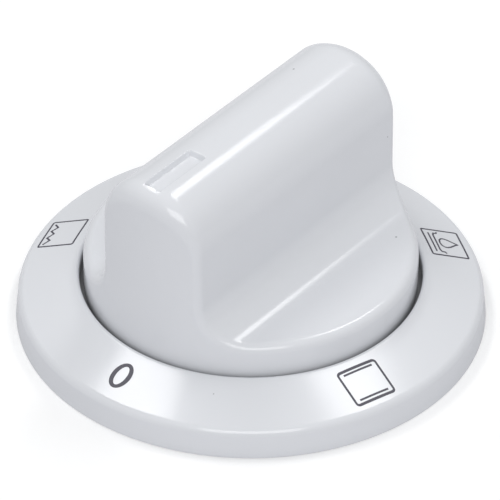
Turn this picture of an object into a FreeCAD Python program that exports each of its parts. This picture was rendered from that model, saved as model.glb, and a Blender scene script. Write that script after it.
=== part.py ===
# Selector knob of a kitchen appliance, standing in its dial ring.
# Millimetres. +Z points away from the appliance's panel, the ring's flat back is at Z = 0, and
# the knob turns about Z. At rest the knob's pointing end looks along -Y.
import FreeCAD, Part
import os
import Sketcher

V = FreeCAD.Vector
SAME = 0.01  # lengths that differ by less than this are taken as equal

# Driving sizes: alias, value in millimetres or a count, and what it is
SIZES = [
    ("ring_diameter", 66.0, "dial ring, outside diameter at its back"),
    ("ring_edge_height", 4.05, "dial ring, height of its outer edge"),
    ("ring_edge_lean", 0.4, "dial ring, how far the outer edge leans in"),
    ("ring_edge_round", 1.3, "dial ring, rounding of the outer edge"),
    ("ring_lip_height", 7.6, "dial ring, height of the lip round the knob"),
    ("ring_lip_round", 0.6, "dial ring, rounding of that lip"),
    ("ring_wall", 2.0, "dial ring, wall thickness"),
    ("moat_gap", 0.6, "open gap between ring and knob, all round"),
    ("web_underside", 2.2, "dial ring, height of the web's underside"),
    ("web_thickness", 2.0, "dial ring, thickness of the web under the knob"),
    ("collar_height", 3.0, "dial ring, height of the bearing collar above the web"),
    ("collar_wall", 2.2, "dial ring, wall of the bearing collar"),
    ("back_rib_count", 10, "dial ring, ribs behind the cone"),
    ("back_rib_thickness", 1.2, "dial ring, thickness of those ribs"),
    ("back_rib_setback", 1.0, "dial ring, how far those ribs stop short of the back"),
    ("pip_boss_count", 2, "dial ring, bosses with holes that drop over pips in the panel"),
    ("pip_boss_width", 6.0, "dial ring, width of those bosses"),
    ("pip_hole_diameter", 3.2, "dial ring, diameter of their blind holes"),
    ("pip_hole_depth", 3.0, "dial ring, depth of those holes"),
    ("knob_diameter", 46.8, "knob, diameter of its round base"),
    ("knob_height", 33.6, "knob, height of the grip's top above the back"),
    ("knob_wall", 2.0, "knob, wall thickness"),
    ("shelf_height", 11.45, "knob, height of the shelf in each scoop"),
    ("skirt_clearance", 0.8, "knob, gap between its skirt and the web"),
    ("grip_foot_width", 17.0, "grip, width where the flanks would meet the shelf"),
    ("grip_top_width", 16.6, "grip, width at the shoulders"),
    ("grip_crown", 0.3, "grip, rise of its crowned top"),
    ("scoop_radius", 5.6, "scoop, radius between flank and shelf"),
    ("shoulder_margin", 0.27, "grip, how far the long shoulders' curve stops short of its middle"),
    ("pointer_round", 3.0, "grip, rounding over the top of its pointing end"),
    ("heel_round", 4.5, "grip, rounding over the top of its other end"),
    ("rim_round", 1.4, "knob, rounding of the base's rim and of the grip's upright edges"),
    ("trim_margin", 5.0, "knob, how far its long form is drawn past the base before trimming"),
    ("index_length", 9.4, "index groove, length"),
    ("index_width", 2.6, "index groove, width"),
    ("index_depth", 0.8, "index groove, depth"),
    ("index_inset", 2.3, "index groove, distance from the pointing end"),
    ("hub_diameter", 14.0, "hub, outside diameter"),
    ("hub_back_gap", 0.4, "hub, distance of its end from the panel"),
    ("running_gap", 0.1, "running clearance between the knob and the collar"),
    ("rib_thickness", 1.5, "knob, thickness of the inner ribs"),
    ("socket_depth", 20.0, "shaft insert, length"),
    ("insert_diameter", 9.4, "shaft insert, outside diameter"),
    ("key_width", 1.6, "shaft insert, width of its two keys"),
    ("key_rise", 0.7, "shaft insert, height of its two keys"),
    ("entry_bore", 6.6, "shaft insert, diameter of its round entry"),
    ("entry_depth", 7.0, "shaft insert, length of that entry"),
    ("shaft_bore", 6.1, "shaft insert, diameter of the socket for a 6 mm shaft"),
    ("shaft_flat", 1.55, "shaft insert, distance of the socket's flat from the axis"),
    ("slot_setback", 1.5, "shaft insert, distance of the clip's slot from the entry"),
    ("clip_thickness", 0.35, "spring clip, sheet thickness"),
    ("clip_width", 3.2, "spring clip, width"),
    ("clip_bow", 0.8, "spring clip, height of its bow"),
    ("clip_play", 0.1, "spring clip, play in its slot"),
    ("washer_diameter", 20.0, "retaining washer, outside diameter"),
    ("washer_thickness", 0.4, "retaining washer, sheet thickness"),
    ("washer_teeth", 8, "retaining washer, number of teeth"),
    ("tooth_length", 1.2, "retaining washer, radial length of the teeth"),
    ("tooth_drop", 0.6, "retaining washer, how far the teeth bend down"),
    ("tooth_slit", 0.8, "retaining washer, width of the slits between teeth"),
]

doc = FreeCAD.newDocument("selector_knob")

# The sheet of driving sizes
sheet = doc.addObject("Spreadsheet::Sheet", "Sizes")
for row, (alias, size, note) in enumerate(SIZES, start=1):
    sheet.set(f"A{row}", note)
    sheet.set(f"B{row}", str(size))
    sheet.setAlias(f"B{row}", alias)
doc.recompute()

# Radii and heights that several pieces share, as expressions on the sheet
FLOOR = "0 * Sizes.ring_wall"
KNOB_R = "(Sizes.knob_diameter / 2)"
RING_R = "(Sizes.ring_diameter / 2)"
EDGE_R = f"({RING_R} - Sizes.ring_edge_lean)"
HOLE_R = f"({KNOB_R} + Sizes.moat_gap)"
TUBE_R = f"({HOLE_R} + Sizes.ring_wall)"
WEB_TOP = "(Sizes.web_underside + Sizes.web_thickness)"
COLLAR_TOP = f"({WEB_TOP} + Sizes.collar_height)"
COLLAR_IN = "(Sizes.hub_diameter / 2 + Sizes.running_gap)"
COLLAR_OUT = f"({COLLAR_IN} + Sizes.collar_wall)"
SKIRT = f"({WEB_TOP} + Sizes.skirt_clearance)"
SOCKET_END = "(Sizes.hub_back_gap + Sizes.socket_depth)"
GRIP_RISE = "(Sizes.knob_height - Sizes.grip_crown - Sizes.shelf_height)"
GRIP_LEAN = "((Sizes.grip_top_width - Sizes.grip_foot_width) / 2)"
SHOULDER_R = (f"((Sizes.grip_top_width / 2 - Sizes.shoulder_margin) * {GRIP_RISE}"
              f" / (sqrt(pow({GRIP_RISE}; 2) + pow({GRIP_LEAN}; 2)) + {GRIP_LEAN}))")
RING_SLOPE = f"((Sizes.ring_lip_height - Sizes.ring_edge_height) / ({EDGE_R} - {HOLE_R}))"


def cone_height(radius):
    """Height of the ring's sloping face at a radius."""
    return f"(Sizes.ring_lip_height - ({radius} - {HOLE_R}) * {RING_SLOPE})"


def value(expression):
    """The number that an expression on the sheet gives now."""
    result = sheet.evalExpression(expression)
    return float(getattr(result, "Value", result))


def new_body(label):
    body = doc.addObject("PartDesign::Body", label)
    body.Label = label
    return body


def origin_feature(body, role):
    return next(o for o in body.Origin.OriginFeatures if o.Role == role)


def sketch_on(body, label, plane):
    """An empty sketch on one of the body's own origin planes."""
    sketch = body.newObject("Sketcher::SketchObject", label)
    sketch.AttachmentSupport = [(origin_feature(body, plane), "")]
    sketch.MapMode = "FlatFace"
    return sketch


def pin_down(sketch, edge, end, across, up):
    """Ties one point of a sketch edge to two expressions, measured from the origin."""
    for kind, expression in (("DistanceX", across), ("DistanceY", up)):
        number = sketch.addConstraint(
            Sketcher.Constraint(kind, -1, 1, edge, end, value(expression)))
        sketch.setExpression(f"Constraints[{number}]", expression)


def outline(body, label, plane, corners, arc_at=None, arc_rise=None):
    """A closed outline through corners given as expressions, listed anticlockwise. The edge
    that starts at corner arc_at is an arc that rises by arc_rise above its chord."""
    sketch = sketch_on(body, label, plane)
    points = [V(value(across), value(up), 0) for across, up in corners]
    count = len(points)
    for start, point in enumerate(points):
        following = points[(start + 1) % count]
        if start == arc_at:
            top = (point + following) / 2 + V(0, value(arc_rise), 0)
            sketch.addGeometry(Part.Arc(point, top, following), False)
        else:
            sketch.addGeometry(Part.LineSegment(point, following), False)
    for start in range(count):
        sketch.addConstraint(
            Sketcher.Constraint("Coincident", start, 2, (start + 1) % count, 1))
    for start, (across, up) in enumerate(corners):
        if start != arc_at:
            pin_down(sketch, start, 1, across, up)
    if arc_at is not None:
        pin_down(sketch, arc_at - 1, 2, *corners[arc_at])
        half_chord = f"(({corners[arc_at][0]}) - ({corners[arc_at + 1][0]})) / 2"
        number = sketch.addConstraint(
            Sketcher.Constraint("Radius", arc_at, sketch.Geometry[arc_at].Radius))
        sketch.setExpression(
            f"Constraints[{number}]",
            f"(pow({half_chord}; 2) + pow({arc_rise}; 2)) / (2 * {arc_rise})")
    return sketch


def add_circle(sketch, radius, across=FLOOR, up=FLOOR):
    """A circle in a sketch, with its radius and centre given as expressions."""
    number = sketch.addGeometry(
        Part.Circle(V(value(across), value(up), 0), V(0, 0, 1), value(radius)), False)
    pin_down(sketch, number, 3, across, up)
    size = sketch.addConstraint(Sketcher.Constraint("Radius", number, value(radius)))
    sketch.setExpression(f"Constraints[{size}]", radius)


def pad(body, sketch, length, midplane=False):
    feature = body.newObject("PartDesign::Pad", sketch.Label + "_pad")
    feature.Profile = sketch
    feature.Midplane = midplane
    feature.setExpression("Length", length)
    doc.recompute()
    return feature


def pocket(body, sketch, depth=None):
    """Cuts upwards from the sketch's plane, by a depth or right through."""
    feature = body.newObject("PartDesign::Pocket", sketch.Label + "_pocket")
    feature.Profile = sketch
    feature.Reversed = True
    if depth is None:
        feature.Type = "ThroughAll"
    else:
        feature.setExpression("Length", depth)
    doc.recompute()
    return feature


def turned(body, sketch):
    """One full turn of a section about Z."""
    feature = body.newObject("PartDesign::Revolution", sketch.Label + "_turned")
    feature.Profile = sketch
    feature.ReferenceAxis = (origin_feature(body, "Z_Axis"), [""])
    feature.Angle = 360
    doc.recompute()
    return feature


def round_the_axis(body, features, count):
    """Repeats features evenly about Z."""
    pattern = body.newObject("PartDesign::PolarPattern", features[0].Label + "_pattern")
    pattern.Originals = features
    pattern.Axis = (origin_feature(body, "Z_Axis"), [""])
    pattern.Angle = 360
    pattern.setExpression("Occurrences", count)
    body.Tip = pattern
    doc.recompute()
    return pattern


def middle_of(edge):
    return edge.valueAt((edge.FirstParameter + edge.LastParameter) / 2)


def edges_where(shape, test):
    """Names of the shape's edges whose middle point passes the test."""
    return [f"Edge{number}" for number, edge in enumerate(shape.Edges, start=1)
            if test(middle_of(edge))]


def near(first, second):
    return abs(first - second) < SAME


def rounded(body, base, names, radius):
    feature = body.newObject("PartDesign::Fillet", "Fillet")
    feature.Base = (base, names)
    feature.setExpression("Radius", radius)
    doc.recompute()
    return feature


def cylinder(label, radius, base, height):
    """An upright cylinder on the turning axis."""
    rod = doc.addObject("Part::Cylinder", label)
    rod.setExpression("Radius", radius)
    rod.setExpression("Height", height)
    rod.setExpression("Placement.Base.z", base)
    return rod


def block(label, length, width, height, base, middle=FLOOR):
    """A box centred on the Y axis, from a base height, with the middle of its width given."""
    piece = doc.addObject("Part::Box", label)
    piece.setExpression("Length", length)
    piece.setExpression("Width", width)
    piece.setExpression("Height", height)
    piece.setExpression("Placement.Base.x", f"-({length}) / 2")
    piece.setExpression("Placement.Base.y", f"{middle} - ({width}) / 2")
    piece.setExpression("Placement.Base.z", base)
    return piece


def cut(label, base, tool):
    result = doc.addObject("Part::Cut", label)
    result.Base = base
    result.Tool = tool
    return result


def fuse(label, shapes):
    result = doc.addObject("Part::MultiFuse", label)
    result.Shapes = shapes
    return result


# Dial ring: a shallow cone with a lip round the knob, a tube inside it that stands on the panel,
# and a web across the tube with the collar in which the knob's hub turns
ring = new_body("dial_ring")
BACK_R = f"({RING_R} - Sizes.ring_wall)"
UNDER_R = f"({EDGE_R} - Sizes.ring_wall)"
ring_section = outline(ring, "ring_section", "XZ_Plane", [
    (RING_R, FLOOR),
    (EDGE_R, "Sizes.ring_edge_height"),
    (HOLE_R, "Sizes.ring_lip_height"),
    (HOLE_R, WEB_TOP),
    (COLLAR_OUT, WEB_TOP),
    (COLLAR_OUT, COLLAR_TOP),
    (COLLAR_IN, COLLAR_TOP),
    (COLLAR_IN, "Sizes.web_underside"),
    (HOLE_R, "Sizes.web_underside"),
    (HOLE_R, FLOOR),
    (TUBE_R, FLOOR),
    (TUBE_R, f"{cone_height(TUBE_R)} - Sizes.ring_wall"),
    (UNDER_R, f"{cone_height(UNDER_R)} - Sizes.ring_wall"),
    (BACK_R, FLOOR),
])
turned(ring, ring_section)

# Ribs behind the cone, from the tube to the outer edge
RIB_IN = f"({HOLE_R} + Sizes.ring_wall / 2)"
RIB_OUT = f"({EDGE_R} - Sizes.ring_wall / 2)"
back_rib_section = outline(ring, "back_rib", "XZ_Plane", [
    (RIB_IN, "Sizes.back_rib_setback"),
    (RIB_OUT, "Sizes.back_rib_setback"),
    (RIB_OUT, f"{cone_height(RIB_OUT)} - Sizes.ring_wall / 2"),
    (RIB_IN, f"{cone_height(RIB_IN)} - Sizes.ring_wall / 2"),
])
back_rib = pad(ring, back_rib_section, "Sizes.back_rib_thickness", midplane=True)
round_the_axis(ring, [back_rib], "Sizes.back_rib_count")

# Two bosses behind the cone, one each side. Their blind holes drop over pips in the panel, which
# stop the ring turning.
PIP_R = f"(({TUBE_R} + {UNDER_R}) / 2)"
boss_section = outline(ring, "pip_boss", "XZ_Plane", [
    (RIB_IN, FLOOR),
    (RIB_OUT, FLOOR),
    (RIB_OUT, f"{cone_height(RIB_OUT)} - Sizes.ring_wall / 2"),
    (RIB_IN, f"{cone_height(RIB_IN)} - Sizes.ring_wall / 2"),
])
boss = pad(ring, boss_section, "Sizes.pip_boss_width", midplane=True)
round_the_axis(ring, [boss], "Sizes.pip_boss_count")
pip_sketch = sketch_on(ring, "pip_hole", "XY_Plane")
add_circle(pip_sketch, "Sizes.pip_hole_diameter / 2", PIP_R)
pip_hole = pocket(ring, pip_sketch, "Sizes.pip_hole_depth")
ring_holed = round_the_axis(ring, [pip_hole], "Sizes.pip_boss_count")


def circle_test(radius, height):
    """Passes a point at this radius from the axis and this height."""
    return lambda point: (near((point.x ** 2 + point.y ** 2) ** 0.5, value(radius))
                          and near(point.z, value(height)))


outer_edge = edges_where(ring_holed.Shape, circle_test(EDGE_R, "Sizes.ring_edge_height"))
ring_edged = rounded(ring, ring_holed, outer_edge, "Sizes.ring_edge_round")
lip_edge = edges_where(ring_edged.Shape, circle_test(HOLE_R, "Sizes.ring_lip_height"))
rounded(ring, ring_edged, lip_edge, "Sizes.ring_lip_round")

# Knob form: the section across the grip and its scoops, run along Y and trimmed to the base
BEYOND = f"({KNOB_R} + Sizes.trim_margin)"


def grip_form(label, inset, bottom, scoop_round, shoulder_round):
    """The knob's form, drawn inset from its outside. The long edges at the foot of the flanks
    and along the shoulders are rounded before the form is trimmed to the round base."""
    body = new_body(label)
    shelf = f"(Sizes.shelf_height - {inset})"
    foot = f"(Sizes.grip_foot_width / 2 - {inset})"
    top = f"(Sizes.grip_top_width / 2 - {inset})"
    shoulder = f"(Sizes.knob_height - Sizes.grip_crown - {inset})"
    section = outline(body, label + "_section", "XZ_Plane", [
        (f"-{BEYOND}", bottom),
        (BEYOND, bottom),
        (BEYOND, shelf),
        (foot, shelf),
        (top, shoulder),
        (f"-{top}", shoulder),
        (f"-{foot}", shelf),
        (f"-{BEYOND}", shelf),
    ], arc_at=4, arc_rise="Sizes.grip_crown")
    bar = pad(body, section, f"2 * {BEYOND}", midplane=True)
    feet = edges_where(bar.Shape, lambda point: near(abs(point.x), value(foot))
                       and near(point.z, value(shelf)))
    scooped = rounded(body, bar, feet, scoop_round)
    shoulders = edges_where(scooped.Shape, lambda point: near(abs(point.x), value(top))
                            and near(point.z, value(shoulder)))
    rounded(body, scooped, shoulders, shoulder_round)
    around = sketch_on(body, label + "_trim", "XY_Plane")
    add_circle(around, f"{KNOB_R} - {inset}")
    add_circle(around, f"2 * {BEYOND}")
    pocket(body, around)
    return body


outer = grip_form("knob_form", "0 * Sizes.knob_wall", SKIRT, "Sizes.scoop_radius",
                  SHOULDER_R)
cavity = grip_form("knob_cavity", "Sizes.knob_wall", f"{SKIRT} - Sizes.knob_wall",
                   "Sizes.scoop_radius + Sizes.knob_wall",
                   f"{SHOULDER_R} - Sizes.knob_wall")


def edge_radius(point):
    """Rounding of the knob's outer edge at a point: the rim's radius round the scoops and up the
    grip's upright edges, growing over the shoulders to the radius of that end's top."""
    top = value("Sizes.knob_height - Sizes.grip_crown")
    share = (point.z - top) / value(SHOULDER_R) + 1
    end = value("Sizes.pointer_round" if point.y < 0 else "Sizes.heel_round")
    rim = value("Sizes.rim_round")
    return rim + min(max(share, 0.0), 1.0) * (end - rim)


# The edge where the section meets the round base runs round both scoops and over both ends
outer_edges = []
for number, edge in enumerate(outer.Shape.Edges, start=1):
    middle = middle_of(edge)
    on_base = near((middle.x ** 2 + middle.y ** 2) ** 0.5, value(KNOB_R))
    between_faces = len(outer.Shape.ancestorsOfType(edge, Part.Face)) == 2
    if on_base and between_faces and not near(middle.z, value(SKIRT)):
        first, last = (edge_radius(corner.Point) for corner in edge.Vertexes)
        outer_edges.append((number, first, last))
soft_form = doc.addObject("Part::Fillet", "knob_soft_form")
soft_form.Base = outer
soft_form.Edges = outer_edges

# Ribs inside the knob, which rest on the ring's collar, and the hub that turns in the collar
RIB_FOOT = f"({COLLAR_TOP} + Sizes.running_gap)"
RIB_SPAN = f"2 * ({KNOB_R} - Sizes.knob_wall / 2)"
RIB_RISE = f"Sizes.knob_height - Sizes.knob_wall / 2 - {RIB_FOOT}"
long_rib = block("long_rib", "Sizes.rib_thickness", RIB_SPAN, RIB_RISE, RIB_FOOT)
cross_rib = block("cross_rib", RIB_SPAN, "Sizes.rib_thickness", RIB_RISE, RIB_FOOT)
ribs = doc.addObject("Part::MultiCommon", "ribs")
ribs.Shapes = [soft_form, fuse("rib_cross", [long_rib, cross_rib])]
hub = cylinder("hub", "Sizes.hub_diameter / 2", "Sizes.hub_back_gap",
               "Sizes.socket_depth + Sizes.knob_wall")
shell = cut("knob_shell", soft_form, cavity)
solid_knob = fuse("knob_with_hub", [shell, ribs, hub])

# What is cut out of the knob: the seat of the shaft insert and the index groove
seat = fuse("insert_seat", [
    cylinder("seat_bore", "Sizes.insert_diameter / 2", FLOOR, SOCKET_END),
    block("keyways", "Sizes.insert_diameter + 2 * Sizes.key_rise", "Sizes.key_width",
          SOCKET_END, FLOOR),
])
index_groove = block("index_groove", "Sizes.index_width", "Sizes.index_length",
                     "2 * Sizes.index_depth", "Sizes.knob_height - Sizes.index_depth",
                     middle=f"-{KNOB_R} + Sizes.index_inset + Sizes.index_length / 2")
knob = cut("knob", solid_knob, fuse("knob_cuts", [seat, index_groove]))

# Shaft insert: a plug with two keys, a round entry and then a socket with one flat
insert = new_body("shaft_insert")
plug_sketch = sketch_on(insert, "plug", "XY_Plane")
add_circle(plug_sketch, "Sizes.insert_diameter / 2")
plug = pad(insert, plug_sketch, "Sizes.socket_depth")
KEY_OUT = "(Sizes.insert_diameter / 2 + Sizes.key_rise)"
key_sketch = outline(insert, "keys", "XY_Plane", [
    (f"-{KEY_OUT}", "-Sizes.key_width / 2"),
    (KEY_OUT, "-Sizes.key_width / 2"),
    (KEY_OUT, "Sizes.key_width / 2"),
    (f"-{KEY_OUT}", "Sizes.key_width / 2"),
])
pad(insert, key_sketch, "Sizes.socket_depth")
entry_sketch = sketch_on(insert, "entry", "XY_Plane")
add_circle(entry_sketch, "Sizes.entry_bore / 2")
pocket(insert, entry_sketch, "Sizes.entry_depth")
FLAT_X = "(sqrt(pow(Sizes.shaft_bore / 2; 2) - pow(Sizes.shaft_flat; 2)))"
socket_sketch = sketch_on(insert, "socket", "XY_Plane")
flat_end = V(value(FLAT_X), value("Sizes.shaft_flat"), 0)
flat_start = V(-flat_end.x, flat_end.y, 0)
socket_sketch.addGeometry(Part.LineSegment(flat_end, flat_start), False)
socket_sketch.addGeometry(
    Part.Arc(flat_start, V(0, -value("Sizes.shaft_bore / 2"), 0), flat_end), False)
socket_sketch.addConstraint(Sketcher.Constraint("Coincident", 0, 2, 1, 1))
socket_sketch.addConstraint(Sketcher.Constraint("Coincident", 1, 2, 0, 1))
pin_down(socket_sketch, 0, 1, FLAT_X, "Sizes.shaft_flat")
pin_down(socket_sketch, 0, 2, f"-{FLAT_X}", "Sizes.shaft_flat")
bore_size = socket_sketch.addConstraint(
    Sketcher.Constraint("Radius", 1, value("Sizes.shaft_bore / 2")))
socket_sketch.setExpression(f"Constraints[{bore_size}]", "Sizes.shaft_bore / 2")
pocket(insert, socket_sketch)

# Slot behind the flat for the spring clip, open at the insert's inner end
SLOT_FOOT = "(Sizes.entry_depth + Sizes.slot_setback)"
SLOT_BACK = "(Sizes.shaft_flat + Sizes.clip_bow + Sizes.clip_thickness)"
SLOT_HALF = "(Sizes.clip_width / 2 + Sizes.clip_play)"
slot_sketch = outline(insert, "clip_slot", "XY_Plane", [
    (f"-{SLOT_HALF}", "Sizes.shaft_flat / 2"),
    (SLOT_HALF, "Sizes.shaft_flat / 2"),
    (SLOT_HALF, SLOT_BACK),
    (f"-{SLOT_HALF}", SLOT_BACK),
])
slot_sketch.setExpression("AttachmentOffset.Base.z", SLOT_FOOT)
pocket(insert, slot_sketch)
insert.setExpression("Placement.Base.z", "Sizes.hub_back_gap")

# Spring clip: a leaf whose ends lie on the slot's back and whose bow reaches the shaft's flat
clip = new_body("spring_clip")
CLIP_LOW = f"(Sizes.hub_back_gap + {SLOT_FOOT} + Sizes.clip_play)"
CLIP_HIGH = f"({SOCKET_END} - Sizes.clip_play)"
CLIP_THIRD = f"(({CLIP_HIGH} - {CLIP_LOW}) / 3)"
LEAF_BOW = f"({SLOT_BACK} - Sizes.clip_bow)"
clip_sketch = outline(clip, "leaf", "YZ_Plane", [
    (SLOT_BACK, CLIP_LOW),
    (LEAF_BOW, f"{CLIP_LOW} + {CLIP_THIRD}"),
    (LEAF_BOW, f"{CLIP_HIGH} - {CLIP_THIRD}"),
    (SLOT_BACK, CLIP_HIGH),
    (f"{SLOT_BACK} - Sizes.clip_thickness", CLIP_HIGH),
    (f"{LEAF_BOW} - Sizes.clip_thickness", f"{CLIP_HIGH} - {CLIP_THIRD}"),
    (f"{LEAF_BOW} - Sizes.clip_thickness", f"{CLIP_LOW} + {CLIP_THIRD}"),
    (f"{SLOT_BACK} - Sizes.clip_thickness", CLIP_LOW),
])
pad(clip, clip_sketch, "Sizes.clip_width", midplane=True)

# Retaining washer: pushed over the hub's end under the web, with teeth that grip the hub
washer = new_body("retaining_washer")
RIM_TOP = "(Sizes.web_underside - Sizes.running_gap)"
HUB_R = "(Sizes.hub_diameter / 2)"
TOOTH_ROOT = f"({HUB_R} + Sizes.tooth_length)"
washer_sketch = outline(washer, "washer_section", "XZ_Plane", [
    (HUB_R, f"{RIM_TOP} - Sizes.tooth_drop - Sizes.washer_thickness"),
    (TOOTH_ROOT, f"{RIM_TOP} - Sizes.washer_thickness"),
    ("Sizes.washer_diameter / 2", f"{RIM_TOP} - Sizes.washer_thickness"),
    ("Sizes.washer_diameter / 2", RIM_TOP),
    (TOOTH_ROOT, RIM_TOP),
    (HUB_R, f"{RIM_TOP} - Sizes.tooth_drop"),
])
turned(washer, washer_sketch)
slit_sketch = outline(washer, "slit", "XY_Plane", [
    (f"{HUB_R} - Sizes.tooth_length / 2", "-Sizes.tooth_slit / 2"),
    (TOOTH_ROOT, "-Sizes.tooth_slit / 2"),
    (TOOTH_ROOT, "Sizes.tooth_slit / 2"),
    (f"{HUB_R} - Sizes.tooth_length / 2", "Sizes.tooth_slit / 2"),
])
slit = pocket(washer, slit_sketch)
round_the_axis(washer, [slit], "Sizes.washer_teeth")

doc.recompute()

# Every object is checked before anything is written
for item in doc.Objects:
    if "Invalid" in item.State or "Error" in item.State:
        raise RuntimeError(f"{item.Label} did not build: {item.State}")

os.makedirs("parts", exist_ok=True)
for piece in (ring, knob, insert, clip, washer):
    shape = piece.Shape
    if shape.isNull() or not shape.isValid() or len(shape.Solids) != 1:
        raise RuntimeError(f"{piece.Label} is not one valid solid")
    shape.exportStep(f"parts/{piece.Label}.step")
    print(piece.Label, "volume", round(shape.Volume, 1), shape.BoundBox)
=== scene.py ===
import math
import bpy
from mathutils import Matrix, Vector


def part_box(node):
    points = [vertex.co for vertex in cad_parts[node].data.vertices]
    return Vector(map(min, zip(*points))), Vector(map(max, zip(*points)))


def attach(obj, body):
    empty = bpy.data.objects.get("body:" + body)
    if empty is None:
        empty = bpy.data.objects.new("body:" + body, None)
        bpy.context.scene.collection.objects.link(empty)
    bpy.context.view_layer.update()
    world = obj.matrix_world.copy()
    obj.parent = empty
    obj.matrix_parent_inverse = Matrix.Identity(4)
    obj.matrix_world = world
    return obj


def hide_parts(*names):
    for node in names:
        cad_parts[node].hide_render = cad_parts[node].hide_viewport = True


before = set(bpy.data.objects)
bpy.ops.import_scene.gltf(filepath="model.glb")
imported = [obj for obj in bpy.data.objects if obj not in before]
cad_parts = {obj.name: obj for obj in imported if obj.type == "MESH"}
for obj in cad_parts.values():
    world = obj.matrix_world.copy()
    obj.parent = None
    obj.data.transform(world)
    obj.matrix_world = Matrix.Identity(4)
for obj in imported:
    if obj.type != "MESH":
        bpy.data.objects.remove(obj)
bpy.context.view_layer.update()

# Camera: a long lens at arm's length, looking down on the dial from the side of its "0", with the
# grip running away to the upper right. It aims a little above the panel on the turning axis.
CAMERA_AZIMUTH = math.radians(38.5)
CAMERA_ELEVATION = math.radians(38.07)
CAMERA_DISTANCE = 0.6795
CAMERA_LENS = 347.7
AIM_HEIGHT = 0.01022
AIM_ASIDE = 0.00013
aside = Vector((math.cos(CAMERA_AZIMUTH), math.sin(CAMERA_AZIMUTH), 0))
camera_place = CAMERA_DISTANCE * Vector((
    math.sin(CAMERA_AZIMUTH) * math.cos(CAMERA_ELEVATION),
    -math.cos(CAMERA_AZIMUTH) * math.cos(CAMERA_ELEVATION),
    math.sin(CAMERA_ELEVATION)))
aim = Vector((0, 0, AIM_HEIGHT)) - AIM_ASIDE * aside
bpy.ops.object.camera_add(location=camera_place)
camera = bpy.context.object
camera.rotation_mode = "QUATERNION"
camera.rotation_quaternion = (aim - camera_place).to_track_quat("-Z", "Y")
camera.data.lens = CAMERA_LENS
camera.data.clip_start = 0.05
camera.data.clip_end = 20
bpy.context.scene.camera = camera


# White gloss plastic: the glass-filled ABS of knob and ring, moulded in polished tools. It has a
# faint cool tint, a trace of flow in its colour, a few specks of dust and a skin that isn't quite
# flat. Down in the narrow gap between the two its colour is darkened: painted shade, standing in
# for the shade the render leaves too light there.
GAP_RADIUS = 0.0237
GAP_REACH = 0.0006
GAP_MOUTH = 0.0069
GAP_FADE = 0.0012
GAP_FLOOR = 0.0041
GAP_PAINTED_SHADE = 0.5
FLOW_TONE = 0.985
DUST_TONE = 0.45
PLASTIC_IOR = 1.52


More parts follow.
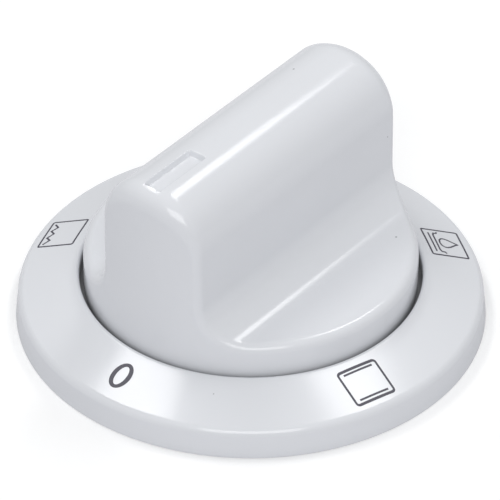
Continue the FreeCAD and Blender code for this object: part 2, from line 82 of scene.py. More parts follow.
def moulded_gloss(name, colour, roughness):
    """A glossy moulded plastic with slow changes of tone and gloss, fine specks, and painted shade
    down in the gap between knob and ring: a darker colour on the gap's walls, deeper down."""
    material = bpy.data.materials.new(name)
    material.use_nodes = True
    nodes, links = material.node_tree.nodes, material.node_tree.links
    shader = nodes["Principled BSDF"]
    shader.inputs["IOR"].default_value = PLASTIC_IOR
    place = nodes.new("ShaderNodeTexCoord")

    flow = nodes.new("ShaderNodeTexNoise")
    flow.inputs["Scale"].default_value = 60.0
    flow.inputs["Detail"].default_value = 3.0
    links.new(place.outputs["Object"], flow.inputs["Vector"])
    tone = nodes.new("ShaderNodeValToRGB")
    tone.color_ramp.elements[0].position = 0.3
    tone.color_ramp.elements[0].color = [FLOW_TONE * part for part in colour] + [1]
    tone.color_ramp.elements[1].position = 0.7
    tone.color_ramp.elements[1].color = list(colour) + [1]
    links.new(flow.outputs["Fac"], tone.inputs["Fac"])

    dust = nodes.new("ShaderNodeTexVoronoi")
    dust.inputs["Scale"].default_value = 190.0
    dust.inputs["Randomness"].default_value = 1.0
    links.new(place.outputs["Object"], dust.inputs["Vector"])
    speck = nodes.new("ShaderNodeValToRGB")
    speck.color_ramp.elements[0].position = 0.022
    speck.color_ramp.elements[0].color = (1, 1, 1, 1)
    speck.color_ramp.elements[1].position = 0.034
    speck.color_ramp.elements[1].color = (0, 0, 0, 1)
    links.new(dust.outputs["Distance"], speck.inputs["Fac"])
    dusted = nodes.new("ShaderNodeMix")
    dusted.data_type = "RGBA"
    links.new(speck.outputs["Color"], dusted.inputs["Factor"])
    links.new(tone.outputs["Color"], dusted.inputs["A"])
    dusted.inputs["B"].default_value = [DUST_TONE * part for part in colour] + [1]

    # Painted shade: on the walls of the narrow gap between knob and ring, above the web, the base
    # colour darkens towards a darker copy of the plastic's colour, more so deeper down the gap.
    place_parts = nodes.new("ShaderNodeSeparateXYZ")
    links.new(place.outputs["Object"], place_parts.inputs["Vector"])
    in_plan = nodes.new("ShaderNodeVectorMath")
    in_plan.operation = "MULTIPLY"
    in_plan.inputs[1].default_value = (1, 1, 0)
    links.new(place.outputs["Object"], in_plan.inputs[0])
    from_axis = nodes.new("ShaderNodeVectorMath")
    from_axis.operation = "LENGTH"
    links.new(in_plan.outputs["Vector"], from_axis.inputs[0])
    in_gap = nodes.new("ShaderNodeMath")
    in_gap.operation = "COMPARE"
    in_gap.inputs[1].default_value = GAP_RADIUS
    in_gap.inputs[2].default_value = GAP_REACH
    links.new(from_axis.outputs["Value"], in_gap.inputs[0])
    depth = nodes.new("ShaderNodeMapRange")
    depth.inputs["From Min"].default_value = GAP_MOUTH
    depth.inputs["From Max"].default_value = GAP_MOUTH - GAP_FADE
    links.new(place_parts.outputs["Z"], depth.inputs["Value"])
    above_web = nodes.new("ShaderNodeMath")
    above_web.operation = "GREATER_THAN"
    above_web.inputs[1].default_value = GAP_FLOOR
    links.new(place_parts.outputs["Z"], above_web.inputs[0])
    wall_shade = nodes.new("ShaderNodeMath")
    wall_shade.operation = "MULTIPLY"
    links.new(in_gap.outputs["Value"], wall_shade.inputs[0])
    links.new(above_web.outputs["Value"], wall_shade.inputs[1])
    gap_shade = nodes.new("ShaderNodeMath")
    gap_shade.operation = "MULTIPLY"
    links.new(wall_shade.outputs["Value"], gap_shade.inputs[0])
    links.new(depth.outputs["Result"], gap_shade.inputs[1])
    shaded = nodes.new("ShaderNodeMix")
    shaded.data_type = "RGBA"
    links.new(gap_shade.outputs["Value"], shaded.inputs["Factor"])
    links.new(dusted.outputs["Result"], shaded.inputs["A"])
    shaded.inputs["B"].default_value = [GAP_PAINTED_SHADE * part for part in colour] + [1]
    links.new(shaded.outputs["Result"], shader.inputs["Base Color"])

    gloss = nodes.new("ShaderNodeMapRange")
    gloss.inputs["To Min"].default_value = roughness
    gloss.inputs["To Max"].default_value = roughness + 0.05
    links.new(flow.outputs["Fac"], gloss.inputs["Value"])
    links.new(gloss.outputs["Result"], shader.inputs["Roughness"])

    skin = nodes.new("ShaderNodeTexNoise")
    skin.inputs["Scale"].default_value = 900.0
    skin.inputs["Detail"].default_value = 2.0
    links.new(place.outputs["Object"], skin.inputs["Vector"])
    bump = nodes.new("ShaderNodeBump")
    bump.inputs["Strength"].default_value = 0.02
    bump.inputs["Distance"].default_value = 0.0002
    links.new(skin.outputs["Fac"], bump.inputs["Height"])
    links.new(bump.outputs["Normal"], shader.inputs["Normal"])
    return material


white_gloss = moulded_gloss("white_gloss", (0.780, 0.793, 0.825), 0.12)


def smooth_faces(piece, sharpest):
    """Shades a piece smooth up to an angle, with the normals led by its larger faces."""
    bpy.ops.object.select_all(action="DESELECT")
    piece.select_set(True)
    bpy.context.view_layer.objects.active = piece
    bpy.ops.object.shade_smooth_by_angle(angle=math.radians(sharpest))
    lead = piece.modifiers.new("lead", "WEIGHTED_NORMAL")
    lead.keep_sharp = True
    bpy.ops.object.modifier_apply(modifier="lead")


def finish_piece(piece, material, body):
    """Gives a modelled piece its material and its place in the assembly."""
    piece.data.materials.clear()
    piece.data.materials.append(material)
    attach(piece, body)


# Dial ring: one shallow cone moulded with a lip round the knob, a tube that stands on the panel
# and a web with the collar the knob turns in. It is drawn as a lathe would cut it: one circle of
# edges carried from corner to corner of the section, with the two outer corners rounded after.
ring_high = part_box("dial_ring")[1]
RING_RADIUS = ring_high.x
RING_LEAN = 0.0004
EDGE_HEIGHT = 0.00405
LIP_HEIGHT = ring_high.z
WALL = 0.002
HOLE_RADIUS = 0.0240
WEB_UNDERSIDE = 0.0022
WEB_TOP = 0.0042
COLLAR_INSIDE = 0.0071
COLLAR_OUTSIDE = 0.0093
COLLAR_TOP = 0.0072
EDGE_ROUND = 0.0013
LIP_ROUND = 0.0006
RING_STEPS = 256
edge_radius = RING_RADIUS - RING_LEAN
ring_slope = (LIP_HEIGHT - EDGE_HEIGHT) / (edge_radius - HOLE_RADIUS)


def ring_height(radius):
    """Height of the ring's sloping face at a distance from the axis."""
    return LIP_HEIGHT - (radius - HOLE_RADIUS) * ring_slope


def lathe(name, section, steps):
    """A closed ring made from one circle of edges, extruded round a section of corners."""
    radius, height = section[0]
    bpy.ops.object.select_all(action="DESELECT")
    bpy.ops.mesh.primitive_circle_add(vertices=steps, radius=radius)
    piece = bpy.context.object
    piece.name = name
    bpy.ops.object.mode_set(mode="EDIT")
    bpy.ops.transform.translate(value=(0, 0, height))
    for next_radius, next_height in section[1:] + section[:1]:
        bpy.ops.mesh.extrude_region_move(
            TRANSFORM_OT_translate={"value": (0, 0, next_height - height)})
        wider = next_radius / radius
        bpy.ops.transform.resize(value=(wider, wider, 1))
        radius, height = next_radius, next_height
    bpy.ops.mesh.select_all(action="SELECT")
    bpy.ops.mesh.remove_doubles(threshold=0.000001)
    bpy.ops.mesh.normals_make_consistent(inside=False)
    bpy.ops.object.mode_set(mode="OBJECT")
    return piece


def pick_edges(piece, test):
    """Opens a piece for editing with only the edges selected whose two ends pass a test."""
    bpy.context.view_layer.objects.active = piece
    bpy.ops.object.mode_set(mode="EDIT")
    bpy.ops.mesh.select_mode(type="EDGE")
    bpy.ops.mesh.select_all(action="DESELECT")
    bpy.ops.object.mode_set(mode="OBJECT")
    for edge in piece.data.edges:
        edge.select = all(test(piece.data.vertices[end].co) for end in edge.vertices)
    bpy.ops.object.mode_set(mode="EDIT")


def round_corner(piece, radius, height, width, segments):
    """Bevels the circle of edges at one corner of a turned piece."""
    pick_edges(piece, lambda place: abs(place.xy.length - radius) < 0.00001
               and abs(place.z - height) < 0.00001)
    bpy.ops.mesh.bevel(offset=width, segments=segments, affect="EDGES")
    bpy.ops.object.mode_set(mode="OBJECT")


def block(name, low, high):
    """A plain block between two corners, to be joined to or cut from a moulding."""
    middle = [(start + end) / 2 for start, end in zip(low, high)]
    bpy.ops.object.select_all(action="DESELECT")
    bpy.ops.mesh.primitive_cube_add(size=1, location=middle)
    piece = bpy.context.object
    piece.name = name
    piece.scale = [end - start for start, end in zip(low, high)]
    bpy.ops.object.transform_apply()
    return piece


def combine(piece, other, operation):
    """Joins another shape to a piece, or cuts it away, and clears the other shape."""
    step = piece.modifiers.new("combine", "BOOLEAN")
    step.operation = operation
    step.solver = "EXACT"
    step.object = other
    bpy.context.view_layer.objects.active = piece
    bpy.ops.object.modifier_apply(modifier="combine")
    bpy.data.objects.remove(other)


tube_radius = HOLE_RADIUS + WALL
ring = lathe("ring_moulding", [
    (RING_RADIUS, 0),
    (edge_radius, EDGE_HEIGHT),
    (HOLE_RADIUS, LIP_HEIGHT),
    (HOLE_RADIUS, WEB_TOP),
    (COLLAR_OUTSIDE, WEB_TOP),
    (COLLAR_OUTSIDE, COLLAR_TOP),
    (COLLAR_INSIDE, COLLAR_TOP),
    (COLLAR_INSIDE, WEB_UNDERSIDE),
    (HOLE_RADIUS, WEB_UNDERSIDE),
    (HOLE_RADIUS, 0),
    (tube_radius, 0),
    (tube_radius, ring_height(tube_radius) - WALL),
    (edge_radius - WALL, ring_height(edge_radius - WALL) - WALL),
    (RING_RADIUS - WALL, 0),
], RING_STEPS)
edge_angle = math.pi / 2 - math.atan(ring_slope) - math.atan(RING_LEAN / EDGE_HEIGHT)
lip_angle = math.pi / 2 + math.atan(ring_slope)
round_corner(ring, edge_radius, EDGE_HEIGHT, EDGE_ROUND * math.tan(edge_angle / 2), 10)
round_corner(ring, HOLE_RADIUS, LIP_HEIGHT, LIP_ROUND * math.tan(lip_angle / 2), 8)

# Behind the ring's cone: ten thin ribs that stiffen it, and two bosses whose blind holes drop over
# pips in the panel, moulded in one with it
RIB_COUNT = 10
RIB_WIDTH = 0.0012
RIB_SETBACK = 0.001
BOSS_WIDTH = 0.006
PIP_RADIUS = 0.0016
PIP_DEPTH = 0.003
rib_inside = HOLE_RADIUS + WALL / 2
rib_outside = edge_radius - WALL / 2
pip_place = (tube_radius + edge_radius - WALL) / 2


def back_rib(name, width, foot, angle):
    """A radial rib under the cone, whose top follows the cone inside the ring's wall."""
    rib = block(name, (rib_inside, -width / 2, foot), (rib_outside, width / 2, LIP_HEIGHT))
    for point in rib.data.vertices:
        if point.co.z > EDGE_HEIGHT:
            point.co.z = ring_height(point.co.x) - WALL / 2
    rib.rotation_euler.z = angle
    bpy.ops.object.transform_apply()
    return rib


for number in range(RIB_COUNT):
    angle = 2 * math.pi * number / RIB_COUNT
    combine(ring, back_rib("rib", RIB_WIDTH, RIB_SETBACK, angle), "UNION")
for angle in (0, math.pi):
    combine(ring, back_rib("boss", BOSS_WIDTH, 0, angle), "UNION")
for side in (-1, 1):
    bpy.ops.object.select_all(action="DESELECT")
    bpy.ops.mesh.primitive_cylinder_add(vertices=48, radius=PIP_RADIUS, depth=2 * PIP_DEPTH,
                                        location=(side * pip_place, 0, 0))
    pip_hole = bpy.context.object
    bpy.ops.object.transform_apply()
    combine(ring, pip_hole, "DIFFERENCE")
smooth_faces(ring, 30)
finish_piece(ring, white_gloss, "dial")
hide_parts("dial_ring")


# Knob moulding: a round base with a tall straight grip left standing between two scoops. Its
# skin is drawn from the section across the grip, and the edge where that meets the round base is
# a ball rolled along it, small on the rim and larger over the grip's two ends.
knob_low, knob_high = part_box("knob")
KNOB_RADIUS = 0.0234
KNOB_TOP = knob_high.z
SKIRT = 0.0050
SHELF = 0.01145
FOOT_HALF = 0.0085
TOP_HALF = 0.0083
CROWN = 0.0003
SCOOP = 0.0056
SHOULDER_MARGIN = 0.00027
RIM_ROUND = 0.0014
POINTER_ROUND = 0.0030
HEEL_ROUND = 0.0045
INNER_ROUND = 0.0006
KNOB_WALL = 0.0020
ARC_STEPS = 22
TOP_STEPS = 40
BALL_STEPS = 16
WALL_STEPS = 10
LINE_GATHER = 1.8
GROOVE_HALF_WIDTH = 0.0013
GROOVE_HALF_LENGTH = 0.0047
GROOVE_MIDDLE = -0.0164
GROOVE_DEPTH = 0.0008
GROOVE_SOFT = 0.0004
grip_rise = KNOB_TOP - CROWN - SHELF
grip_lean = TOP_HALF - FOOT_HALF
SHOULDER_ROUND = ((TOP_HALF - SHOULDER_MARGIN) * grip_rise
                  / (math.hypot(grip_rise, grip_lean) + grip_lean))


def spread(start, end, count):
    """Evenly spaced values from start to end, in so many steps."""
    return [start + (end - start) * step / count for step in range(count + 1)]


def half_section(inset, rim_round, extra_places):
    """The right half of the section across the grip, from the end of the shelf to the middle:
    each point with the way its face looks. The top is one half round, with extra points at some
    distances from the middle."""
    shelf = SHELF - inset
    foot, top = FOOT_HALF - inset, TOP_HALF - inset
    shoulder = KNOB_TOP - CROWN - inset
    flank_way = Vector((grip_rise, -grip_lean)).normalized()
    flank_angle = math.atan2(flank_way.y, flank_way.x)
    crown_radius = (top ** 2 + CROWN ** 2) / (2 * CROWN)
    crown_centre = Vector((0, shoulder + CROWN - crown_radius))

    def flank_place(height):
        """Half the grip's width at a height on its flank."""
        return foot + grip_lean * (height - shelf) / grip_rise

    scoop = SCOOP + inset
    scoop_height = shelf + scoop
    scoop_centre = Vector((flank_place(scoop_height) + scoop / flank_way.x, scoop_height))
    shoulder_round = SHOULDER_ROUND - inset
    height = shoulder - shoulder_round
    for _ in range(5):
        across = flank_place(height) - shoulder_round / flank_way.x
        height = crown_centre.y + math.sqrt((crown_radius - shoulder_round) ** 2 - across ** 2)
    round_centre = Vector((across, height))
    crown_angle = math.atan2(height - crown_centre.y, across)

    points = []
    reach = KNOB_RADIUS - inset - rim_round
    open_angle = math.acos(scoop_centre.x / reach)
    for step in range(ARC_STEPS):
        points.append((Vector((reach * math.cos(open_angle * step / ARC_STEPS), shelf)),
                       Vector((0, 1))))
    for angle in spread(-math.pi / 2, flank_angle - math.pi, ARC_STEPS):
        way = Vector((math.cos(angle), math.sin(angle)))
        points.append((scoop_centre + scoop * way, -way))
    flank_foot = points[-1][0]
    flank_head = round_centre + shoulder_round * flank_way
    points += [(flank_foot.lerp(flank_head, share), flank_way) for share in (0.25, 0.5, 0.75)]
    angles = spread(flank_angle, crown_angle, TOP_STEPS)
    angles += [math.acos((place - round_centre.x) / shoulder_round) for place in extra_places]
    for angle in sorted(angles):
        way = Vector((math.cos(angle), math.sin(angle)))
        points.append((round_centre + shoulder_round * way, way))
    points.append((Vector((0, crown_centre.y + crown_radius)), Vector((0, 1))))
    return points


def soft_step(share):
    """Rises from 0 to 1 with no corner at either end."""
    share = min(max(share, 0), 1)
    return share * share * (3 - 2 * share)


def groove_depth(place):
    """How deep the index groove is at a place on the grip's top."""
    beside = (GROOVE_HALF_WIDTH - abs(place.x)) / GROOVE_SOFT + 0.5
    before = (GROOVE_HALF_LENGTH - abs(place.y - GROOVE_MIDDLE)) / GROOVE_SOFT + 0.5
    return GROOVE_DEPTH * soft_step(beside) * soft_step(before)


def ball_radius(height, rim_round, end_round):
    """The rolled ball's radius at a height on the section: it grows over the shoulders."""
    share = (height - KNOB_TOP + CROWN) / SHOULDER_ROUND + 1
    return rim_round + min(max(share, 0), 1) * (end_round - rim_round)


def skin_half_line(point, way, radius, inset, foot_angle, side):
    """One line of the skin on one side of the knob, from the skirt up the wall and over the
    rolled edge to the section's own face."""
    base = KNOB_RADIUS - inset
    centre = Vector((point.x - radius * way.x, 0, point.y - radius * way.y))
    centre.y = side * math.sqrt(max((base - radius) ** 2 - centre.x ** 2, 0))
    wall_way = Vector((centre.x, centre.y, 0)).normalized()
    face_way = Vector((way.x, 0, way.y))
    wall_angle = math.atan2(centre.x, abs(centre.y))
    line = []
    for step in range(WALL_STEPS):
        share = step / WALL_STEPS
        angle = foot_angle + (wall_angle - foot_angle) * share
        line.append(Vector((base * math.sin(angle), side * base * math.cos(angle),
                            SKIRT + (centre.z - SKIRT) * share)))
    opening = wall_way.angle(face_way)
    for step in range(BALL_STEPS + 1):
        share = step / BALL_STEPS
        turned = (math.sin((1 - share) * opening) * wall_way
                  + math.sin(share * opening) * face_way) / math.sin(opening)
        line.append(centre + radius * turned)
    return line


def grip_skin(name, inset, rim_round, end_rounds, extra_places, along_shares):
    """The knob's skin as lines that run from skirt to skirt over the grip, one for each point of
    the section."""
    half = half_section(inset, rim_round, extra_places)
    scoop_start = ARC_STEPS
    travelled = [0.0]
    for (before, _), (after, _) in zip(half[scoop_start:], half[scoop_start + 1:]):
        travelled.append(travelled[-1] + (after - before).length)
    lines = []
    for number, (point, way) in enumerate(half):
        foot_angle = math.asin(min(point.x / (KNOB_RADIUS - inset - rim_round), 1))
        if number >= scoop_start:
            share = travelled[number - scoop_start] / travelled[-1]
            start_angle = math.asin(half[scoop_start][0].x / (KNOB_RADIUS - inset - rim_round))
            foot_angle = start_angle * (1 - share) ** LINE_GATHER
        front, back = [
            skin_half_line(point, way, ball_radius(point.y, rim_round, end_round), inset,
                           foot_angle, side)
            for side, end_round in zip((-1, 1), end_rounds)]
        over = [front[-1].lerp(back[-1], share) for share in along_shares]
        lines.append(front + over + back[::-1])
    mirrored = [[Vector((-place.x, place.y, place.z)) for place in line]
                for line in lines[-2::-1]]
    lines += mirrored
    width = len(lines[0])
    vertices = [place for line in lines for place in line]
    faces = [
        (line * width + step, line * width + step + 1,
         (line + 1) * width + step + 1, (line + 1) * width + step)
        for line in range(len(lines) - 1) for step in range(width - 1)]
    mesh = bpy.data.meshes.new(name)
    mesh.from_pydata(vertices, [], faces)
    piece = bpy.data.objects.new(name, mesh)
    bpy.context.collection.objects.link(piece)
    return piece


groove_wall = spread(GROOVE_HALF_WIDTH + GROOVE_SOFT / 2, GROOVE_HALF_WIDTH - GROOVE_SOFT / 2, 8)
front_flat = -(KNOB_RADIUS - POINTER_ROUND)
back_flat = KNOB_RADIUS - HEEL_ROUND
groove_end = GROOVE_MIDDLE + GROOVE_HALF_LENGTH
along = [place / 1000 for place in (-20.2, -20, -19, -17, -15, -13, -12.5, -12.2)]
along += spread(groove_end - GROOVE_SOFT / 2, groove_end + GROOVE_SOFT / 2, 8)
along += [place / 1000 for place in (-11.2, -10.5, -8, -5, 0, 5, 10, 14, 17)]
along_shares = [(place - front_flat) / (back_flat - front_flat) for place in along]
skin = grip_skin("knob_moulding", 0, RIM_ROUND, (POINTER_ROUND, HEEL_ROUND),
                 groove_wall, along_shares)
for vertex in skin.data.vertices:
    if vertex.co.z > SHELF:
        vertex.co.z -= groove_depth(vertex.co)
hollow = grip_skin("hollow", KNOB_WALL, INNER_ROUND, (INNER_ROUND, INNER_ROUND),
                   [], spread(0.1, 0.9, 4))
bpy.ops.object.select_all(action="DESELECT")
hollow.select_set(True)
skin.select_set(True)
bpy.context.view_layer.objects.active = skin
bpy.ops.object.join()
bpy.ops.object.mode_set(mode="EDIT")
bpy.ops.mesh.select_all(action="SELECT")
bpy.ops.mesh.remove_doubles(threshold=0.000002)
bpy.ops.mesh.select_all(action="DESELECT")
bpy.ops.mesh.select_mode(type="EDGE")
bpy.ops.mesh.select_non_manifold()
bpy.ops.mesh.bridge_edge_loops()
bpy.ops.mesh.select_all(action="SELECT")
bpy.ops.mesh.normals_make_consistent(inside=False)
bpy.ops.object.mode_set(mode="OBJECT")

# Inside the knob: the hub that turns in the ring's collar and holds the shaft insert, and the
# cross of ribs that stiffens the grip and rests on the collar. They are of one moulding with it.
HUB_RADIUS = 0.0070
HUB_FOOT = knob_low.z
HUB_TOP = HUB_FOOT + 0.022
SEAT_RADIUS = 0.0047
SEAT_TOP = HUB_FOOT + 0.020
KEY_HALF_WIDTH = 0.0008
KEY_REACH = 0.0054
RIB_THICKNESS = 0.0015
RIB_PLAY = 0.0001
RIB_FOOT = COLLAR_TOP + RIB_PLAY
bpy.ops.object.select_all(action="DESELECT")
bpy.ops.mesh.primitive_cylinder_add(vertices=96, radius=HUB_RADIUS, depth=HUB_TOP - HUB_FOOT,
                                    location=(0, 0, (HUB_TOP + HUB_FOOT) / 2))
hub = bpy.context.object
bpy.ops.object.transform_apply()
pick_edges(hub, lambda place: place.z < HUB_FOOT + 0.00001)
bpy.ops.mesh.inset(thickness=HUB_RADIUS - SEAT_RADIUS)
bpy.ops.mesh.extrude_region_move(
    TRANSFORM_OT_translate={"value": (0, 0, SEAT_TOP - HUB_FOOT)})
bpy.ops.object.mode_set(mode="OBJECT")
combine(hub, block("keyways", (-KEY_REACH, -KEY_HALF_WIDTH, HUB_FOOT - 0.001),
                   (KEY_REACH, KEY_HALF_WIDTH, SEAT_TOP)), "DIFFERENCE")
half_rib = RIB_THICKNESS / 2
ribs = grip_skin("ribs", KNOB_WALL / 2, INNER_ROUND, (POINTER_ROUND - KNOB_WALL / 2,
                                                      HEEL_ROUND - KNOB_WALL / 2), [], [0.5])
bpy.ops.object.select_all(action="DESELECT")
ribs.select_set(True)
bpy.context.view_layer.objects.active = ribs
bpy.ops.object.mode_set(mode="EDIT")
bpy.ops.mesh.select_all(action="SELECT")
bpy.ops.mesh.remove_doubles(threshold=0.000002)
bpy.ops.mesh.select_all(action="DESELECT")
bpy.ops.mesh.select_mode(type="EDGE")
bpy.ops.mesh.select_non_manifold()
bpy.ops.mesh.edge_face_add()
bpy.ops.mesh.select_all(action="SELECT")
bpy.ops.mesh.normals_make_consistent(inside=False)
bpy.ops.object.mode_set(mode="OBJECT")
cross = block("cross", (-half_rib, -KNOB_RADIUS, RIB_FOOT), (half_rib, KNOB_RADIUS, KNOB_TOP))
combine(cross, block("cross_rib", (-KNOB_RADIUS, -half_rib, RIB_FOOT),
                     (KNOB_RADIUS, half_rib, KNOB_TOP)), "UNION")
combine(ribs, cross, "INTERSECT")
combine(skin, ribs, "UNION")
combine(skin, hub, "UNION")
smooth_faces(skin, 40)
finish_piece(skin, white_gloss, "knob")
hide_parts("knob")

# Shaft insert, spring clip and retaining washer: the solids of the frame as they are, hidden
# behind the knob. The insert is dull unfilled nylon; clip and washer are blanked from hard steel.
def plain_finish(name, colour, metallic, roughness, grain_scale, grain):
    """A dull material with fine grain in its tone and its surface."""
    material = bpy.data.materials.new(name)
    material.use_nodes = True
    nodes, links = material.node_tree.nodes, material.node_tree.links
    shader = nodes["Principled BSDF"]
    shader.inputs["Metallic"].default_value = metallic
    place = nodes.new("ShaderNodeTexCoord")
    grains = nodes.new("ShaderNodeTexNoise")
    grains.inputs["Scale"].default_value = grain_scale
    grains.inputs["Detail"].default_value = 4.0
    links.new(place.outputs["Object"], grains.inputs["Vector"])
    tone = nodes.new("ShaderNodeValToRGB")
    tone.color_ramp.elements[0].position = 0.3
    tone.color_ramp.elements[0].color = [(1 - grain) * part for part in colour] + [1]
    tone.color_ramp.elements[1].position = 0.7
    tone.color_ramp.elements[1].color = list(colour) + [1]
    links.new(grains.outputs["Fac"], tone.inputs["Fac"])
    links.new(tone.outputs["Color"], shader.inputs["Base Color"])
    gloss = nodes.new("ShaderNodeMapRange")
    gloss.inputs["To Min"].default_value = roughness
    gloss.inputs["To Max"].default_value = roughness + 0.15
    links.new(grains.outputs["Fac"], gloss.inputs["Value"])
    links.new(gloss.outputs["Result"], shader.inputs["Roughness"])
    bump = nodes.new("ShaderNodeBump")
    bump.inputs["Strength"].default_value = 0.15
    bump.inputs["Distance"].default_value = 0.0001
    links.new(grains.outputs["Fac"], bump.inputs["Height"])
    links.new(bump.outputs["Normal"], shader.inputs["Normal"])
    return material


nylon = plain_finish("natural_nylon", (0.62, 0.59, 0.50), 0.0, 0.45, 700, 0.08)
steel = plain_finish("spring_steel", (0.46, 0.46, 0.47), 1.0, 0.30, 1500, 0.15)
for node, material in (("shaft_insert", nylon), ("spring_clip", steel),
                       ("retaining_washer", steel)):
    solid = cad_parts[node]
    solid.data.materials.clear()
    solid.data.materials.append(material)
    weld = solid.modifiers.new("weld", "WELD")
    weld.merge_threshold = 0.000001
    soften = solid.modifiers.new("soften", "BEVEL")
    soften.width = 0.00008
    soften.segments = 2
    soften.harden_normals = True


# Printed marks: the "0", top and bottom heat, flame and grill, pad-printed on the cone in slate
# grey ink. Each is drawn flat, as the printing plate is, and then laid down on the slope.
MARK_CENTRE = 0.0284
MARK_HALF_WIDTH = 0.0032
MARK_HALF_RISE = 0.00297
INK_RISE = 0.00002
INK_DEPTH = 0.00004
OUTLINE_STEP = 0.0003
lean_cosine = math.cos(math.atan(ring_slope))


def round_box(half_width, half_rise, corner):
    """Corners of a box with rounded corners, as a closed outline about its middle."""
    points = []
    for turn, (across, up) in enumerate(((1, 1), (-1, 1), (-1, -1), (1, -1))):
        middle = Vector((across * (half_width - corner), up * (half_rise - corner)))
        for angle in spread(turn * math.pi / 2, (turn + 1) * math.pi / 2, 6):
            points.append(middle + corner * Vector((math.cos(angle), math.sin(angle))))
    return points


def line_of_ink(points, width, closed=False):
    """Outlines of a printed line with mitred corners: one round an open line, two for a loop."""
    sides = ([], [])
    count = len(points)
    for number, point in enumerate(points):
        before = points[number - 1] if closed or number > 0 else None
        after = points[(number + 1) % count] if closed or number < count - 1 else None
        ways = [way.normalized() for way in (
            point - before if before else None, after - point if after else None) if way]
        middle = sum(ways, Vector((0, 0))).normalized()
        reach = width / 2 / max(middle.dot(ways[0]), 0.5)
        normal = Vector((-middle.y, middle.x)) * reach
        sides[0].append(point + normal)
        sides[1].append(point - normal)
    if closed:
        return [sides[0], sides[1]]
    return [sides[0] + sides[1][::-1]]


def refined(outline):
    """The same outline with more points along its long sides, so that it can lie on the cone."""
    points = []
    for start, end in zip(outline, outline[1:] + outline[:1]):
        steps = max(1, round((end - start).length / OUTLINE_STEP))
        points += [start.lerp(end, step / steps) for step in range(steps)]
    return points


def lay_on_cone(mark, angle):
    """Carries a flat drawing to its place round the axis and down on the ring's slope."""
    outwards = Vector((math.cos(angle), math.sin(angle)))
    along = Vector((-outwards.y, outwards.x))
    for point in mark.data.vertices:
        flat = (MARK_CENTRE + point.co.y * lean_cosine) * outwards + point.co.x * along
        point.co = (flat.x, flat.y, ring_height(flat.length) + INK_RISE)


def print_mark(name, angle, outlines, material):
    """A printed mark: outlines with +Y outwards, laid on the cone at an angle about the axis."""
    drawing = bpy.data.curves.new(name, "CURVE")
    drawing.dimensions = "2D"
    drawing.fill_mode = "BOTH"
    for outline in outlines:
        points = refined(outline)
        spline = drawing.splines.new("POLY")
        spline.points.add(len(points) - 1)
        for number, point in enumerate(points):
            spline.points[number].co = (point.x, point.y, 0, 1)
        spline.use_cyclic_u = True
    mark = bpy.data.objects.new(name, drawing)
    bpy.context.collection.objects.link(mark)
    bpy.ops.object.select_all(action="DESELECT")
    mark.select_set(True)
    bpy.context.view_layer.objects.active = mark
    bpy.ops.object.convert(target="MESH")
    mark = bpy.context.object
    bpy.ops.object.mode_set(mode="EDIT")
    bpy.ops.mesh.select_all(action="SELECT")
    bpy.ops.mesh.remove_doubles(threshold=0.000001)
    bpy.ops.mesh.quads_convert_to_tris()
    bpy.ops.mesh.beautify_fill(angle_limit=math.pi)
    bpy.ops.object.mode_set(mode="OBJECT")
    lay_on_cone(mark, angle)
    if sum(face.normal.z for face in mark.data.polygons) < 0:
        mark.data.flip_normals()
    thicken = mark.modifiers.new("thicken", "SOLIDIFY")
    thicken.thickness = INK_DEPTH
    thicken.offset = -1
    bpy.ops.object.modifier_apply(modifier="thicken")
    finish_piece(mark, material, "dial")
    return mark


def on_mark(*places):
    """Places on a mark given as shares of its width and rise, from its clockwise inner corner."""
    return [Vector(((2 * across - 1) * MARK_HALF_WIDTH, (2 * up - 1) * MARK_HALF_RISE))
            for across, up in places]


ink = plain_finish("slate_ink", (0.07, 0.066, 0.09), 0.0, 0.35, 2600, 0.12)
thin_frame = [round_box(MARK_HALF_WIDTH, MARK_HALF_RISE, 0.00035),
              round_box(MARK_HALF_WIDTH - 0.00027, MARK_HALF_RISE - 0.00027, 0.00015)]
zero = []
for half_width, half_rise in ((0.00149, 0.00211), (0.00081, 0.00157)):
    zero.append([Vector((half_width * math.cos(angle), half_rise * math.sin(angle)))
                 for angle in spread(0, 2 * math.pi, 64)[:-1]])
print_mark("print_zero", math.radians(270), zero, ink)
print_mark("print_heat", math.radians(342), [
    round_box(MARK_HALF_WIDTH, MARK_HALF_RISE, 0.0006),
    round_box(MARK_HALF_WIDTH - 0.00031, MARK_HALF_RISE - 0.00042, 0.00025),
    *line_of_ink(on_mark((0.14, 0.135), (0.86, 0.135)), 0.0003),
    *line_of_ink(on_mark((0.14, 0.855), (0.86, 0.855)), 0.0003),
], ink)
print_mark("print_grill", math.radians(198), thin_frame + line_of_ink(on_mark(
    (0.12, 0.885), (0.25, 0.755), (0.385, 0.88), (0.50, 0.755), (0.645, 0.88), (0.75, 0.755),
    (0.90, 0.885)), 0.00027), ink)
print_mark("print_flame", math.radians(54), thin_frame + [
    *line_of_ink(on_mark((0.15, 0.17), (0.85, 0.17)), 0.00024),
    *line_of_ink(on_mark((0.10, 0.42), (0.15, 0.385), (0.155, 0.31), (0.22, 0.28),
                         (0.76, 0.28), (0.845, 0.31), (0.85, 0.385), (0.90, 0.42)), 0.00025),
    *line_of_ink(on_mark((0.50, 0.37), (0.40, 0.39), (0.345, 0.45), (0.335, 0.52),
                         (0.37, 0.62), (0.44, 0.73), (0.50, 0.84), (0.56, 0.73),
                         (0.63, 0.62), (0.665, 0.52), (0.655, 0.45), (0.60, 0.39)),
                 0.00024, closed=True),
], ink)


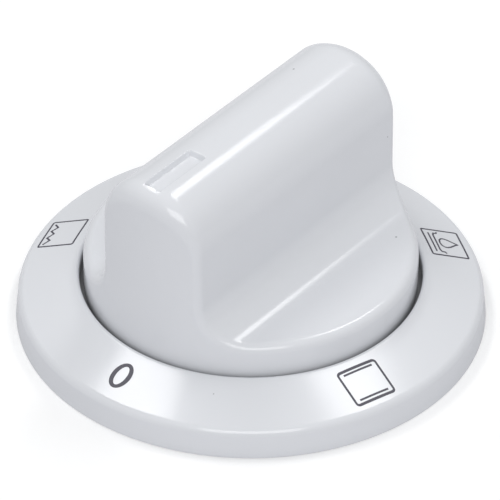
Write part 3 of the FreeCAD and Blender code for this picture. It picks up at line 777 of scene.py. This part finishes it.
# Floor: a plain white table. The camera sees it white, as the photograph's cut-out ground, and
# the object sees a pale grey, which lights its walls from below. It keeps the object's shadow.
FLOOR_SIZE = 6.0
FLOOR_DROP = 0.00005
FLOOR_GREY = 0.72
FLOOR_WHITE = 0.95
FLOOR_GLOW = 0.12
bpy.ops.object.select_all(action="DESELECT")
bpy.ops.mesh.primitive_plane_add(size=FLOOR_SIZE, location=(0, 0, -FLOOR_DROP))
table = bpy.context.object
table.name = "floor"
paper = bpy.data.materials.new("floor_white")
paper.use_nodes = True
nodes, links = paper.node_tree.nodes, paper.node_tree.links
ray = nodes.new("ShaderNodeLightPath")
seen = nodes.new("ShaderNodeMix")
seen.data_type = "RGBA"
seen.inputs["A"].default_value = (FLOOR_GREY, FLOOR_GREY, 1.03 * FLOOR_GREY, 1)
seen.inputs["B"].default_value = (FLOOR_WHITE, FLOOR_WHITE, FLOOR_WHITE, 1)
links.new(ray.outputs["Is Camera Ray"], seen.inputs["Factor"])
matt = nodes.new("ShaderNodeBsdfDiffuse")
links.new(seen.outputs["Result"], matt.inputs["Color"])
glow = nodes.new("ShaderNodeEmission")
lift = nodes.new("ShaderNodeMath")
lift.operation = "MULTIPLY"
lift.inputs[1].default_value = FLOOR_GLOW
links.new(ray.outputs["Is Camera Ray"], lift.inputs[0])
links.new(lift.outputs["Value"], glow.inputs["Strength"])
both = nodes.new("ShaderNodeAddShader")
links.new(matt.outputs["BSDF"], both.inputs[0])
links.new(glow.outputs["Emission"], both.inputs[1])
links.new(both.outputs["Shader"], nodes["Material Output"].inputs["Surface"])
table.data.materials.append(paper)

# Light: an even room, two softboxes hung behind the dial, left and right, that lay the gloss on
# both sides of the ring's front and along the grip's shoulder, and a third above the camera that
# lights the fronts of ring and knob
ROOM_BRIGHTNESS = 0.47
world = bpy.data.worlds.new("studio")
bpy.context.scene.world = world
world.use_nodes = True
world.node_tree.nodes["Background"].inputs["Color"].default_value = (0.98, 0.99, 1, 1)
world.node_tree.nodes["Background"].inputs["Strength"].default_value = ROOM_BRIGHTNESS
bpy.context.scene.view_settings.view_transform = "Standard"
towards = aside.cross(Vector((0, 0, 1)))


def softbox(name, right, near, height, width, length, tilt, turn, brightness):
    """A softbox: how far right of the dial and nearer to the camera it hangs, its height, size,
    tilt towards the dial and turn, and its brightness against a white wall."""
    bpy.ops.object.light_add(type="AREA", location=right * aside + near * towards)
    lamp = bpy.context.object
    lamp.name = name
    lamp.location.z = height
    lamp.rotation_euler.x = math.radians(tilt)
    lamp.rotation_euler.z = CAMERA_AZIMUTH + math.radians(turn)
    lamp.data.shape = "RECTANGLE"
    lamp.data.size = width
    lamp.data.size_y = length
    lamp.data.energy = brightness * math.pi * width * length


softbox("softbox_left", -0.150, -0.14, 0.38, 0.10, 0.20, 0, 0, 6.9)
softbox("softbox_right", 0.148, -0.143, 0.38, 0.085, 0.20, 0, -18, 6.3)
softbox("softbox_front", 0, 0.55, 0.45, 0.5, 0.3, 50.7, 0, 3.5)
